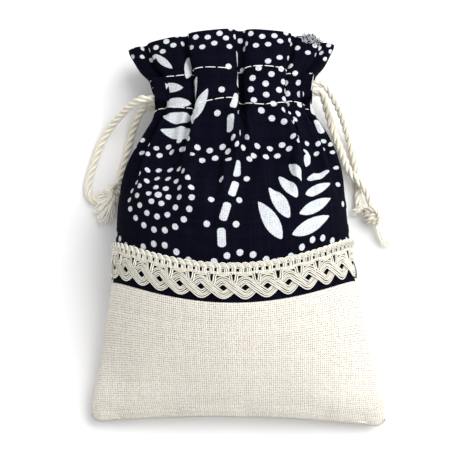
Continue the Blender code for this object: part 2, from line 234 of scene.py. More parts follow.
def bottom_growth(y):
    """How much of its full depth the sack has reached at y."""
    left = 1 - np.clip(y, 0, BOTTOM_FILLS_BY) / BOTTOM_FILLS_BY
    return (1 - left**2) ** BOTTOM_ROUNDNESS


def base_path(y, face, count=241):
    """The sack's cross-section at y without gathers, over the front or back, in the order of s."""
    angle = np.linspace(math.pi, 0, count)
    if face < 0:
        angle = angle[::-1]
    u = np.cos(angle)
    middle = smooth(SIDE_HEIGHT, y) * u**2 + smooth(MIDDLE_HEIGHT, y) * (1 - u**2)
    rise = smooth(FRONT_RISE if face > 0 else BACK_DROP, y) * bottom_growth(y) + LEAST_RISE
    z = middle + face * rise * np.clip(np.sin(angle), 0, 1) ** FULLNESS
    x = smooth(HALF_WIDTH, y + smooth(SEAM_BOW, y)) * u
    z = CLOTH_THICKNESS + np.logaddexp(0, (z - CLOTH_THICKNESS) * TABLE_FIRMNESS) / TABLE_FIRMNESS
    lean = BOTTOM_LEAN * x * np.clip(1 - y / BOTTOM_LEAN_TO, 0, 1)
    corner = CORNER_ROUNDING * np.clip((np.abs(u) - CORNER_FROM) / CORNER_WIDTH, 0, 1) ** 2
    corner = corner * np.clip(1 - y / CORNER_HEIGHT, 0, 1)
    if face > 0:
        for dent_x, dent_y, radius, depth in DENTS:
            z = z - depth * np.exp(-((x - dent_x) ** 2 + (y - dent_y) ** 2) / radius**2)
    dip = EDGE_DIP[0] + (EDGE_DIP[1] - EDGE_DIP[0]) * np.abs(u)
    dip = dip * smooth_step(y, EDGE_DIP_FROM, SACK_LENGTH)
    return np.stack([x + smooth(SWAY, y), y + smooth(SEAM_BOW, y) * u**2 - lean + corner - dip, z], axis=1)


def fold_slopes(s, valleys):
    """The cloth's slope across the folds for a fold angle of one: down before each valley and up after it."""
    centres = [v[0] for v in valleys]
    crests = [0.0, *[(a + b) / 2 for a, b in zip(centres, centres[1:])], PANEL_WIDTH]
    slope = np.zeros_like(s)
    for (centre, before, after), left, right in zip(valleys, crests, crests[1:]):
        down = (s >= left) & (s < centre)
        up = (s >= centre) & (s <= right)
        falling = ((s[down] - left) / (centre - left)) ** VALLEY_SHARPNESS
        rising = ((right - s[up]) / (right - centre)) ** VALLEY_SHARPNESS
        slope[down] -= before * np.sin(math.pi * falling)
        slope[up] += after * np.sin(math.pi * rising)
    return slope


def summed(values, places):
    """The running integral of values over their places."""
    return np.concatenate([[0], np.cumsum((values[1:] + values[:-1]) / 2 * np.diff(places))])


def fold_angle(folds, fine, width):
    """The fold angle at which the folded cloth is as wide as this, found by halving."""
    low, high = 0.0, STEEPEST_FOLD
    for _ in range(30):
        angle = (low + high) / 2
        if summed(np.cos(angle * folds), fine)[-1] > width:
            low = angle
        else:
            high = angle
    return low


def gathered_row(y, face, s):
    """Where the cloth at s lies, at y on the front or back, folded to fit the width there."""
    path = base_path(y, face)
    along = running_length(path)
    fine = np.linspace(0, PANEL_WIDTH, 1601)
    folds = fold_slopes(fine, FRONT_VALLEYS if face > 0 else BACK_VALLEYS)
    angle = fold_angle(folds, fine, along[-1])
    way = summed(np.cos(angle * folds), fine)
    way *= along[-1] / way[-1]
    depth = summed(np.sin(angle * folds), fine)
    depth -= fine / PANEL_WIDTH * depth[-1]
    at = np.interp(s, fine, way)
    tangent = np.gradient(path, along, axis=0)
    normal = unit(np.stack([-tangent[:, 2], np.zeros(len(path)), tangent[:, 0]], axis=1))
    on = np.stack([np.interp(at, along, path[:, k]) for k in range(3)], axis=1)
    out = np.stack([np.interp(at, along, normal[:, k]) for k in range(3)], axis=1)
    return on + out * np.interp(s, fine, depth)[:, None] * smooth(FOLD_DEPTH, y)


def height_table():
    """v against y, from the length of the front's middle line."""
    y = np.linspace(0, SACK_LENGTH, 1200)
    top = smooth(MIDDLE_HEIGHT, y) + smooth(FRONT_RISE, y) * bottom_growth(y)
    length = running_length(np.stack([y, top], axis=1))
    return y, length / length[-1] * PANEL_LENGTH


Y_TABLE, V_TABLE = height_table()


def v_at(y):
    return np.interp(y, Y_TABLE, V_TABLE)


def start_shape():
    """The gathered sack as a grid of points, COLUMNS round it and ROWS up it."""
    s = np.arange(COLUMNS) * GIRTH / COLUMNS
    half = COLUMNS // 2
    grid = np.zeros((COLUMNS, ROWS, 3))
    for row, v in enumerate(np.linspace(0, PANEL_LENGTH, ROWS)):
        y = np.interp(v, V_TABLE, Y_TABLE)
        grid[:half, row] = gathered_row(y, 1, s[:half])
        grid[half:, row] = gathered_row(y, -1, s[half:] - PANEL_WIDTH)
    return grid


# ---- cloth simulation ---------------------------------------------------------------------

def pin_weights():
    """How firmly each row keeps its place: the casing wholly, the folds beside it hardly at all."""
    neck_low, neck_high = v_at(CASING_BOTTOM - 0.8), v_at(CASING_TOP + 0.5)
    return np.interp(
        np.linspace(0, PANEL_LENGTH, ROWS),
        [0, 2, 30, 62, 80, neck_low - 4, neck_low, neck_high, neck_high + 3, PANEL_LENGTH],
        [1, 0.8, 0.6, 0.5, 0.15, 0.03, 1, 1, 0.5, 0.35],
    )


def sheet_to_settle(grid):
    """The grid as a mesh with pins, and its flat cut as a shape key."""
    s = np.arange(COLUMNS) * GIRTH / COLUMNS
    flat = np.zeros_like(grid)
    flat[..., 0] = np.where(s < PANEL_WIDTH, s, GIRTH - s)[:, None]
    flat[..., 1] = np.linspace(0, PANEL_LENGTH, ROWS)[None, :]
    mesh = bpy.data.meshes.new("settling")
    faces = grid_faces(COLUMNS, ROWS, closed=True)
    mesh.from_pydata((grid.reshape(-1, 3) * SIM_SCALE).tolist(), [], faces.tolist())
    sheet = bpy.data.objects.new("settling", mesh)
    bpy.context.scene.collection.objects.link(sheet)
    sheet.shape_key_add(name="Basis")
    cut = sheet.shape_key_add(name="cut")
    cut.data.foreach_set("co", (flat.reshape(-1, 3) * SIM_SCALE).ravel())
    cut.value = 0
    pins = sheet.vertex_groups.new(name="pins")
    for row, weight in enumerate(pin_weights()):
        pins.add([int(k) for k in np.arange(COLUMNS) * ROWS + row], float(weight), "REPLACE")
    return sheet, cut


def add_solver(sheet, cut):
    """Gives the mesh Blender's cloth solver, which takes the cut as the cloth's size at rest."""
    cloth = sheet.modifiers.new("cloth", "CLOTH")
    cloth.settings.quality = 6
    cloth.settings.mass = 0.3
    cloth.settings.tension_stiffness = cloth.settings.compression_stiffness = 15
    cloth.settings.bending_stiffness = 1.2
    cloth.settings.vertex_group_mass = "pins"
    cloth.settings.rest_shape_key = cut
    cloth.settings.effector_weights.gravity = 0.6
    cloth.collision_settings.distance_min = 0.004
    return cloth


def settled(grid):
    """The grid after the solver has let its folds find their own shape round the pinned neck."""
    sheet, cut = sheet_to_settle(grid)
    cloth = add_solver(sheet, cut)
    bpy.ops.mesh.primitive_plane_add(size=10)
    table = bpy.context.object
    table.modifiers.new("collision", "COLLISION")
    cloth.point_cache.frame_start, cloth.point_cache.frame_end = 1, SIM_FRAMES
    for step in range(1, SIM_FRAMES + 1):
        bpy.context.scene.frame_set(step)
    done = sheet.evaluated_get(bpy.context.evaluated_depsgraph_get()).to_mesh()
    points = np.empty(len(done.vertices) * 3)
    done.vertices.foreach_get("co", points)
    bpy.data.objects.remove(sheet)
    bpy.data.objects.remove(table)
    bpy.context.scene.frame_set(1)
    return points.reshape(grid.shape) / SIM_SCALE


class Cloth:
    """The sack's cloth as a smooth surface over its grid of points."""

    def __init__(self, grid):
        self.grid = grid

    @staticmethod
    def weights(t):
        return (
            (-t + 2 * t**2 - t**3) / 2,
            (2 - 5 * t**2 + 3 * t**3) / 2,
            (t + 4 * t**2 - 3 * t**3) / 2,
            (t**3 - t**2) / 2,
        )

    def at(self, s, v):
        s, v = np.broadcast_arrays(np.asarray(s, float), np.asarray(v, float))
        across = (s % GIRTH) / GIRTH * COLUMNS
        up = np.clip(v / PANEL_LENGTH, 0, 1) * (ROWS - 1)
        i, j = np.floor(across).astype(int), np.clip(np.floor(up).astype(int), 0, ROWS - 2)
        a, b = self.weights(across - i), self.weights(up - j)
        found = np.zeros((*s.shape, 3))
        for m in range(4):
            for n in range(4):
                column, row = (i + m - 1) % COLUMNS, np.clip(j + n - 1, 0, ROWS - 1)
                found += (a[m] * b[n])[..., None] * self.grid[column, row]
        return found

    def normal(self, s, v, step=0.4):
        v = np.clip(np.asarray(v, float), step, PANEL_LENGTH - step)
        along = self.at(np.asarray(s) + step, v) - self.at(np.asarray(s) - step, v)
        return unit(np.cross(along, self.at(s, v + step) - self.at(s, v - step)))

    def lifted(self, s, v, lift):
        s, v, lift = np.broadcast_arrays(np.asarray(s, float), np.asarray(v, float), np.asarray(lift, float))
        return self.at(s, v) + self.normal(s, v) * lift[..., None]


# ---- meshes -------------------------------------------------------------------------------

def grid_faces(columns, rows, closed=False):
    """Quads of a grid of points stored column by column."""
    i, j = np.meshgrid(np.arange(columns if closed else columns - 1), np.arange(rows - 1), indexing="ij")
    k = (i + 1) % columns
    return np.stack([i * rows + j, k * rows + j, k * rows + j + 1, i * rows + j + 1], axis=-1).reshape(-1, 4)


def shell_faces(columns, rows):
    """Quads of a closed sheet: an outer grid, an inner grid and the rims between them."""
    outer = grid_faces(columns, rows)
    size = columns * rows
    left, right = np.arange(rows), np.arange(rows) + (columns - 1) * rows
    bottom, top = np.arange(columns) * rows, np.arange(columns) * rows + rows - 1
    faces = [outer, outer[:, ::-1] + size]
    for edge, flip in ((left, False), (right, True), (bottom, True), (top, False)):
        quads = np.stack([edge[:-1], edge[1:], edge[1:] + size, edge[:-1] + size], axis=1)
        faces.append(quads[:, ::-1] if flip else quads)
    return np.concatenate(faces)


class Shape:
    """Points, faces and cloth coordinates gathered for one mesh."""

    def __init__(self):
        self.points, self.uv, self.quads, self.tris, self.count = [], [], [], [], 0

    def add(self, points, uv, quads, tris=()):
        self.points.append(points)
        self.uv.append(uv)
        self.quads.append(np.asarray(quads, int).reshape(-1, 4) + self.count)
        self.tris.append(np.asarray(tris, int).reshape(-1, 3) + self.count)
        self.count += len(points)

    def tube(self, points, radius, sides=6, up=None):
        """A tube with closed ends along these points. Its first side faces the direction up, if given."""
        points = np.asarray(points, float)
        tangent = unit(np.gradient(points, axis=0))
        first = carried(tangent) if up is None else unit(up - (up * tangent).sum(1)[:, None] * tangent)
        second = np.cross(tangent, first)
        turn = np.arange(sides) * 2 * math.pi / sides
        ring = np.cos(turn)[None, :, None] * first[:, None] + np.sin(turn)[None, :, None] * second[:, None]
        radius = np.broadcast_to(radius, len(points))
        around = (points[:, None] + ring * radius[:, None, None]).reshape(-1, 3)
        length = running_length(points)
        i, j = np.meshgrid(np.arange(len(points) - 1), np.arange(sides), indexing="ij")
        k = (j + 1) % sides
        here, there = i * sides, (i + 1) * sides
        quads = np.stack([here + j, here + k, there + k, there + j], -1)
        ends = len(around) + np.arange(2)
        rim = np.arange(sides)
        last = (len(points) - 1) * sides
        tris = np.concatenate([
            np.stack([np.full(sides, ends[0]), (rim + 1) % sides, rim], 1),
            np.stack([np.full(sides, ends[1]), last + rim, last + (rim + 1) % sides], 1),
        ])
        uv = np.stack([np.tile(rim / sides, len(points)), np.repeat(length, sides) * YARN_UV], axis=1)
        uv = np.concatenate([uv, [[0, 0], [0, length[-1] * YARN_UV]]])
        self.add(np.concatenate([around, points[[0, -1]]]), uv, quads, tris)

    def made(self, name, material, attributes=None):
        points, uv = np.concatenate(self.points), np.concatenate(self.uv)
        quads, tris = np.concatenate(self.quads), np.concatenate(self.tris)
        corners = np.concatenate([quads.ravel(), tris.ravel()])
        starts = np.concatenate([np.arange(len(quads)) * 4, len(quads) * 4 + np.arange(len(tris)) * 3])
        mesh = bpy.data.meshes.new(name)
        mesh.vertices.add(len(points))
        mesh.vertices.foreach_set("co", place(points).ravel())
        mesh.loops.add(len(corners))
        mesh.loops.foreach_set("vertex_index", corners)
        mesh.polygons.add(len(starts))
        mesh.polygons.foreach_set("loop_start", starts)
        mesh.update(calc_edges=True)
        mesh.uv_layers.new(name="cloth").data.foreach_set("uv", uv[corners].ravel())
        for key, values in (attributes or {}).items():
            mesh.attributes.new(key, "FLOAT", "POINT").data.foreach_set("value", values.astype(np.float32))
        mesh.shade_smooth()
        mesh.set_sharp_from_angle(angle=math.radians(60))
        mesh.materials.append(material)
        obj = bpy.data.objects.new(name, mesh)
        bpy.context.scene.collection.objects.link(obj)
        return obj


def carried(tangent):
    """A direction across a curve at each point, carried along it without twist."""
    start = np.cross(tangent[0], (0.31, 0.17, 0.93))
    across = [start / np.linalg.norm(start)]
    for t in tangent[1:]:
        next_one = across[-1] - (across[-1] @ t) * t
        across.append(next_one / np.linalg.norm(next_one))
    return np.array(across)


def sheet_piece(name, points, uv, thickness, material, attributes=None):
    """A closed sheet: points is its outside as a grid, and its inside lies this far behind."""
    columns, rows = points.shape[:2]
    normal = unit(np.cross(np.gradient(points, axis=0), np.gradient(points, axis=1)))
    both = np.concatenate([points.reshape(-1, 3), (points - normal * thickness).reshape(-1, 3)])
    shape = Shape()
    shape.add(both, np.tile(uv.reshape(-1, 2), (2, 1)), shell_faces(columns, rows))
    doubled = {key: np.tile(values.ravel(), 2) for key, values in (attributes or {}).items()}
    return shape.made(name, material, doubled)


def spaced(low, high, step=MESH_STEP):
    return np.linspace(low, high, max(2, round((high - low) / step)) + 1)


# ---- materials ----------------------------------------------------------------------------

class Shader:
    """A material being made, with short ways to add its nodes."""

    def __init__(self, name, roughness=0.9, sheen=0.0, specular=0.2):
        self.material = bpy.data.materials.new(name)
        self.material.use_nodes = True
        self.tree = self.material.node_tree
        self.surface = self.tree.nodes["Principled BSDF"]
        self.surface.inputs["Roughness"].default_value = roughness
        self.surface.inputs["Specular IOR Level"].default_value = specular
        self.surface.inputs["Sheen Weight"].default_value = sheen
        self.surface.inputs["Sheen Roughness"].default_value = 0.6

    def node(self, kind, inputs=(), **settings):
        made = self.tree.nodes.new(f"ShaderNode{kind}")
        for key, value in settings.items():
            setattr(made, key, value)
        for key, value in dict(inputs).items():
            if isinstance(value, bpy.types.NodeSocket):
                self.tree.links.new(value, made.inputs[key])
            else:
                made.inputs[key].default_value = value
        return made

    def math(self, operation, *values, clamp=False):
        return self.node("Math", enumerate(values), operation=operation, use_clamp=clamp).outputs[0]

    def vector(self, operation, first, second):
        by = "Scale" if operation == "SCALE" else 1
        return self.node("VectorMath", {0: first, by: second}, operation=operation).outputs[0]

    def noise(self, at, scale, detail=2.0):
        return self.node("TexNoise", {"Vector": at, "Scale": scale, "Detail": detail})

    def mix(self, factor, low, high):
        """A blend of two numbers."""
        return self.node("Mix", {0: factor, 2: low, 3: high}, data_type="FLOAT").outputs[0]

    def colours(self, factor, low, high):
        """A blend of two colours."""
        ends = [end if isinstance(end, bpy.types.NodeSocket) else (*end, 1) for end in (low, high)]
        return self.node("Mix", {0: factor, 6: ends[0], 7: ends[1]}, data_type="RGBA").outputs[2]

    def finish(self, colour, height, depth):
        """Sets the colour and a bump of this depth, and gives the material."""
        self.tree.links.new(colour, self.surface.inputs["Base Color"])
        bump = self.node("Bump", {"Height": height, "Distance": depth * MM, "Strength": 1.0})
        self.tree.links.new(bump.outputs[0], self.surface.inputs["Normal"])
        return self.material


def weave(shader, pitch, wander):
    """Plain weave: its height, each thread's tone, a mask of its pinholes, where shade is painted, and the
    cloth coordinates.
    """
    uv = shader.node("UVMap", uv_map="cloth").outputs[0]
    cloth = shader.vector("SCALE", uv, 1 / CLOTH_UV)
    drift = shader.vector("SUBTRACT", shader.noise(cloth, 0.3, 3.0).outputs["Color"], (0.5, 0.5, 0.5))
    moved = shader.vector("ADD", cloth, shader.vector("SCALE", drift, wander))
    split = shader.node("SeparateXYZ", {0: moved})
    waves, tones, corners = [], [], []
    for axis, seed in ((0, 0.0), (1, 57.0)):
        turns = shader.math("DIVIDE", split.outputs[axis], pitch)
        waves.append(shader.math("SINE", shader.math("MULTIPLY", turns, math.pi)))
        number = shader.math("ADD", shader.math("FLOOR", turns), seed)
        tones.append(shader.node("TexWhiteNoise", {"W": number}, noise_dimensions="1D").outputs["Value"])
        corners.append(shader.math("ROUND", turns))
    profiles = [shader.math("ABSOLUTE", wave) for wave in waves]
    crossing = shader.math("MULTIPLY", waves[0], waves[1])
    over = shader.math("MULTIPLY_ADD", crossing, 2.5, 0.5, clamp=True)
    height = shader.mix(over, profiles[1], profiles[0])
    corner = shader.node("CombineXYZ", dict(enumerate(corners))).outputs[0]
    open_at = shader.node("TexWhiteNoise", {"Vector": corner}, noise_dimensions="2D").outputs["Value"]
    near = shader.node("MapRange", {0: shader.math("MAXIMUM", *profiles), 1: 0.80, 2: 0.45}).outputs[0]
    pinhole_shade = shader.math("MULTIPLY", near, shader.math("MULTIPLY_ADD", open_at, 0.9, 0.1))
    return height, shader.mix(over, tones[1], tones[0]), pinhole_shade, cloth


def linen_material():
    shader = Shader("natural_linen", 0.95, 0.05)
    height, tone, pinhole_shade, cloth = weave(shader, 0.66, 0.5)
    stretched = shader.vector("MULTIPLY", cloth, (0.12, 1.4, 1.0))
    slubs = shader.noise(stretched, 1.0, 4.0).outputs["Fac"]
    standing = shader.noise(shader.vector("MULTIPLY", cloth, (1.4, 0.12, 1.0)), 1.0, 4.0).outputs["Fac"]
    shade = shader.math("ADD", shader.math("MULTIPLY", slubs, 0.5), shader.math("MULTIPLY", standing, 0.5))
    shade = shader.math("ADD", shader.math("MULTIPLY", tone, 0.5), shader.math("MULTIPLY", shade, 0.5))
    threads = shader.colours(shade, (0.72, 0.67, 0.58), (0.92, 0.88, 0.81))
    # Painted shade: the threads darken where they dip between one another.
    shade_between_threads = shader.node("MapRange", {0: height, 1: 0.0, 2: 0.6, 3: 0.66, 4: 1.0}).outputs[0]
    threads = shader.colours(shade_between_threads, (0.0, 0.0, 0.0), threads)
    # Painted shade in the pinholes: dark brown where the gaps between the threads are.
    colour = shader.colours(pinhole_shade, threads, (0.17, 0.135, 0.10))
    bumpy = shader.math("ADD", height, shader.math("MULTIPLY", slubs, 0.6))
    return shader.finish(colour, bumpy, 0.10)


def printed_material():
    """Navy cotton with a white print, which lies where the mesh's attribute "print" is below zero."""
    shader = Shader("printed_cotton", 0.95, 0.0, 0.03)
    height, tone, pinhole_shade, cloth = weave(shader, 0.54, 0.2)
    edge = shader.noise(cloth, 2.2, 3.0).outputs["Fac"]
    distance = shader.node("Attribute", attribute_name="print").outputs["Fac"]
    wobbly = shader.math("ADD", distance, shader.math("MULTIPLY_ADD", edge, 0.3, -0.15))
    printed = shader.node("MapRange", {0: wobbly, 1: 0.07, 2: -0.07}).outputs[0]
    # The pinholes let the dark navy ground through the print; this is painted shade in the gaps.
    cover = shader.math("MULTIPLY_ADD", pinhole_shade, -0.7, 1.0)
    faded = shader.noise(cloth, 0.25, 4.0).outputs["Fac"]
    ground = shader.colours(faded, (0.0010, 0.0010, 0.0026), (0.0032, 0.0032, 0.0095))
    ground = shader.colours(shader.math("MULTIPLY", tone, 0.35), ground, (0.007, 0.007, 0.019))
    paint = shader.colours(tone, (0.56, 0.60, 0.635), (0.70, 0.73, 0.75))
    colour = shader.colours(shader.math("MULTIPLY", printed, cover), ground, paint)
    return shader.finish(colour, height, 0.07)


# Spun cottons: (dark, light, twist, scale of the fibres, depth of the bump, brightness of the painted shade
# in the grooves).
YARNS = {
    "cotton_cord": ((0.82, 0.76, 0.61), (0.97, 0.93, 0.82), 3.0, 14.0, 0.10, 0.82),
    # The frayed ends are a lighter copy of the cord's cotton: painted light that offsets the sack's shadow
    # over the tassels. They get no painted groove shade.
    "cotton_cord_ends": ((0.90, 0.86, 0.74), (0.98, 0.96, 0.89), 3.0, 5.0, 0.02, 1.0),
    "cotton_lace": ((0.84, 0.80, 0.67), (0.97, 0.94, 0.85), 9.0, 6.0, 0.05, 0.36),
    "sewing_thread": ((0.86, 0.85, 0.81), (0.96, 0.95, 0.92), 12.0, 4.0, 0.03, 0.8),
}


def yarn_material(name):
    """Spun cotton: fibres that wind round each ply, with painted shade on the side that faces its neighbours.
    """
    dark, light, twist, fibre_scale, depth, groove_shade_level = YARNS[name]
    shader = Shader(name, 0.85, 0.25)
    uv = shader.node("UVMap", uv_map="cloth").outputs[0]
    split = shader.node("SeparateXYZ", {0: uv})
    wound = shader.math("MULTIPLY_ADD", split.outputs[1], twist, split.outputs[0])
    across = shader.math("MULTIPLY", wound, fibre_scale)
    at = shader.node("CombineXYZ", {0: across, 1: split.outputs[1]}).outputs[0]
    fibres = shader.noise(at, 1.0, 4.0).outputs["Fac"]
    patches = shader.noise(uv, 3.0, 2.0).outputs["Fac"]
    shade = shader.math("MULTIPLY_ADD", patches, 0.5, shader.math("MULTIPLY", fibres, 0.5))
    shade = shader.node("MapRange", {0: shade, 1: 0.35, 2: 0.65}).outputs[0]
    # Painted shade: the side of each ply that faces its neighbours is darkened down to the groove's
    # brightness.
    outward = shader.math("COSINE", shader.math("MULTIPLY", split.outputs[0], 2 * math.pi))
    groove_shade = shader.node("MapRange", {0: outward, 1: -0.3, 2: 0.7, 3: groove_shade_level, 4: 1.0}).outputs[0]
    colour = shader.colours(groove_shade, (0.0, 0.0, 0.0), shader.colours(shade, dark, light))
    return shader.finish(colour, fibres, depth)


def table_material():
    shader = Shader("white_table", 0.75)
    shader.surface.inputs["Base Color"].default_value = (0.93, 0.93, 0.935, 1)
    return shader.material


# ---- the print ----------------------------------------------------------------------------

# The print repeats: dot rings and leaf sprigs take turns, with dashes between columns and dots between rows.
MOTIF_STEP, FIRST_MOTIF = (50.0, 42.0), (24.0, 74.0)
DOT_SIZE, MIDDLE_DOT = 1.05, 1.2
# The dots round a ring's middle: (radius, how many).
RINGS = [(3.6, 6), (8.2, 13), (12.8, 20)]
DASH_SIZE, DASH_CORNER = (6.0, 2.6), 0.95
DASH_STEP, DASH_TURN, DASH_WAVE = 8.2, 1.1, 2.6
DOTS_BESIDE_DASHES = 4.6
GARLAND_STEP, GARLAND_WAVE, GARLAND_GAP = 4.0, 2.0, 4.0
SPRIG_LENGTH, SPRIG_PAIRS, SPRIG_LEAN, SPRIG_SPREAD = 27.0, 4, 26.0, 54.0
# Shares of a sprig's length: how much of it is below its centre, and how far a pair's leaves are set apart.
SPRIG_BELOW, SPRIG_STAGGER = 0.58, 0.04
LEAF_SIZE, LEAF_SHARE, LEAF_TAPER, LEAF_OFF, LEAF_ROUNDNESS = 15.0, 0.32, 0.38, 1.4, 0.85


def dots_field(s, v, dots):
    found = np.full(s.shape, 9.0)
    for x, y, size in dots:
        found = np.minimum(found, np.hypot(s - x, v - y) - size)
    return found


def turned(s, v, centre, degrees):
    a = math.radians(degrees)
    x, y = s - centre[0], v - centre[1]
    return x * math.cos(a) + y * math.sin(a), y * math.cos(a) - x * math.sin(a)


def dash_field(s, v, centre, degrees, length, width):
    """A short bar with rounded corners."""
    x, y = turned(s, v, centre, degrees)
    dx, dy = np.abs(x) - length / 2 + DASH_CORNER, np.abs(y) - width / 2 + DASH_CORNER
    outside = np.hypot(np.maximum(dx, 0), np.maximum(dy, 0))
    return outside + np.minimum(np.maximum(dx, dy), 0) - DASH_CORNER


def leaf_field(s, v, base, degrees, length, width):
    """A leaf from its base along a direction: two arcs that meet in points, a little fuller at the base."""
    x, y = turned(s, v, base, degrees)
    x = x / length
    full = width / 2 * np.sin(math.pi * np.clip(x, 0, 1) ** LEAF_ROUNDNESS) ** LEAF_ROUNDNESS
    beyond = np.maximum(np.maximum(-x, x - 1), 0) * length
    off = np.abs(y) - full
    return np.hypot(np.maximum(off, 0), beyond) + np.minimum(off, 0) * 0.8


def ring_dots(centre):
    """Rings of dots round one another, as (s, v, radius)."""
    x, y = centre
    found = [(x, y, MIDDLE_DOT * DOT_SIZE)]
    for radius, count in RINGS:
        for angle in np.arange(count) * 2 * math.pi / count:
            found.append((x + radius * math.cos(angle), y + radius * math.sin(angle), DOT_SIZE))
    return found


def sprig_leaves(centre, lean):
    """Pairs of leaves up a leaning stem, each as (base, direction in degrees, length, width)."""
    heading = math.radians(90 - lean)
    way = np.array([math.cos(heading), math.sin(heading)])
    side = np.array([way[1], -way[0]])
    base = np.array(centre) - way * SPRIG_LENGTH * SPRIG_BELOW
    found = []
    for pair in range(SPRIG_PAIRS):
        up = pair / SPRIG_PAIRS
        length = LEAF_SIZE * (1 - LEAF_TAPER * up)
        for turn in (-1, 1):
            at = base + way * SPRIG_LENGTH * (up + SPRIG_STAGGER * turn) + side * LEAF_OFF * turn
            found.append((at, 90 - lean - turn * SPRIG_SPREAD, length, length * LEAF_SHARE))
    tip = LEAF_SIZE * (1 - LEAF_TAPER)
    return [*found, (base + way * SPRIG_LENGTH, 90 - lean, tip, tip * LEAF_SHARE)]


def motif_place(column, row):
    return FIRST_MOTIF[0] + column * MOTIF_STEP[0], FIRST_MOTIF[1] + row * MOTIF_STEP[1]


def garland_dots():
    """Wavy double rows of dots between the rows of motifs."""
    found = []
    for s in np.arange(GARLAND_STEP / 2, PANEL_WIDTH, GARLAND_STEP):
        for row in (-0.5, 0.5, 1.5):
            v = motif_place(0, row)[1] + GARLAND_WAVE * math.cos(4 * math.pi * s / MOTIF_STEP[0])
            found.append((s, v - GARLAND_GAP / 2, DOT_SIZE))
            found.append((s + GARLAND_STEP / 2, v + GARLAND_GAP / 2, DOT_SIZE))
    return found


def dash_column(column, row):
    """Four dashes, each as (centre, degrees, length, width), one above another, and the dots beside them."""
    dashes, dots = [], []
    for steps_up in (-1.5, -0.5, 0.5, 1.5):
        s, v = motif_place(column, row)
        v += steps_up * DASH_STEP
        turn = steps_up * DASH_TURN
        s += DASH_WAVE * math.sin(turn)
        slope = DASH_WAVE * DASH_TURN / DASH_STEP * math.cos(turn)
        dashes.append(((s, v), 90 - math.degrees(math.atan(slope)), *DASH_SIZE))
        dots += [(s + side * DOTS_BESIDE_DASHES, v + DASH_STEP / 2, DOT_SIZE) for side in (-1, 1)]
    return dashes, dots


def repeat():
    """Every dot, dash and leaf on one panel."""
    dots, dashes, leaves = [], [], []
    for column in (0, 1):
        for row in (0, 1, 2):
            centre = motif_place(column, row)
            if (column + row) % 2 == 0:
                dots += ring_dots(centre)
            else:
                leaves += sprig_leaves(centre, SPRIG_LEAN if column else -SPRIG_LEAN)
    dots += garland_dots()
    for column in (0.5, 1.5):
        for row in (0, 1):
            more_dashes, more_dots = dash_column(column, row)
            dashes += more_dashes
            dots += more_dots
    return dots, dashes, leaves


DOTS, DASHES, LEAVES = repeat()


def print_field(s, v):
    """Distance from the edge of the print, below zero inside it. The back's print mirrors the front's."""
    s, v = s % GIRTH, np.asarray(v)
    s = np.where(s > PANEL_WIDTH, GIRTH - s, s)
    found = dots_field(s, v, DOTS)
    for centre, degrees, length, width in DASHES:
        found = np.minimum(found, dash_field(s, v, centre, degrees, length, width))
    for base, degrees, length, width in LEAVES:
        found = np.minimum(found, leaf_field(s, v, base, degrees, length, width))
    return found


# ---- the sack's cloth ---------------------------------------------------------------------

def seam_groove(s):
    """How far the cloth is drawn in at the side seams."""
    off = np.abs((np.asarray(s) + PANEL_WIDTH / 2) % PANEL_WIDTH - PANEL_WIDTH / 2)
    return -GROOVE_DEPTH * np.exp(-((off / GROOVE_WIDTH) ** 2))


def slit_opening(y):
    """How far the slits hold the casing's front and back from the neck's middle plane, at y."""
    opening = SLIT_HALF_HEIGHT * smooth_step(y, SLIT_FROM - 1.2, SLIT_FROM + 0.8)
    return opening * (1 - smooth_step(y, SLIT_TO - 0.8, SLIT_TO + 1.2))


def panel_points(cloth, s, v, lift=0.0):
    """The cloth's outside at every s and v, drawn in at the seams, with s and v at each point."""
    columns, rows = np.meshgrid(s, v, indexing="ij")
    return cloth.lifted(columns, rows, lift + seam_groove(columns)), columns, rows


def cloth_uv(columns, rows):
    return np.stack([columns, rows], axis=-1) * CLOTH_UV


def gather(piece):
    """Bakes a piece's placement into its mesh."""
    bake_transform(piece)


def add_linen(cloth, material):
    """The two linen panels, and the fold that joins them at the bottom."""
    top = v_at(LINEN_TOP)
    near_top = [top - 0.8, top - 0.45, top - 0.2, top - 0.05]
    rows = np.concatenate([spaced(0, top - 1.2, LINEN_STEP), near_top])
    lift = np.interp(rows, [0, top - 1.2, top - 0.45, top - 0.05], [0.35, 0.5, 0.5, 0.15])
    for name, low, high in (("front", 0, PANEL_WIDTH), ("back", PANEL_WIDTH, GIRTH)):
        points, s, v = panel_points(cloth, spaced(low, high, LINEN_STEP), rows, lift[None, :])
        piece = sheet_piece(f"linen_bottom_{name}", points, cloth_uv(s, v), CLOTH_THICKNESS, material)
        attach(piece, "sack")
        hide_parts(f"linen_{name}")
    s = spaced(0, PANEL_WIDTH, 0.8)
    fold = (cloth.at(s, 0) + cloth.at(GIRTH - s, 0)) / 2
    fold[:, 2] = np.maximum(fold[:, 2], BOTTOM_FOLD + 0.05)
    shape = Shape()
    shape.tube(fold, BOTTOM_FOLD, 10)
    piece = shape.made("bottom_fold", material)
    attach(piece, "sack")
    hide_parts("bottom_seam", "side_seam_left", "side_seam_right")


def add_printed_body(cloth, material):
    """The printed cloth between the linen and the casing, in a left and a right half."""
    rows = spaced(v_at(LINEN_TOP) - UNDER_LINEN, v_at(NECK_LINE))
    for name, side, low in (("left", -1, 1.5 * PANEL_WIDTH), ("right", 1, 0.5 * PANEL_WIDTH)):
        points, s, v = panel_points(cloth, spaced(low, low + PANEL_WIDTH), rows)
        piece = sheet_piece(
            f"printed_body_{name}", points, cloth_uv(s, v), CLOTH_THICKNESS, material,
            {"print": print_field(s, v)},
        )
        gather(piece)
        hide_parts(*[f"shoulder_{face}_{name}" for face in ("front", "back")])
        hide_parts("print_front" if side < 0 else "print_back")


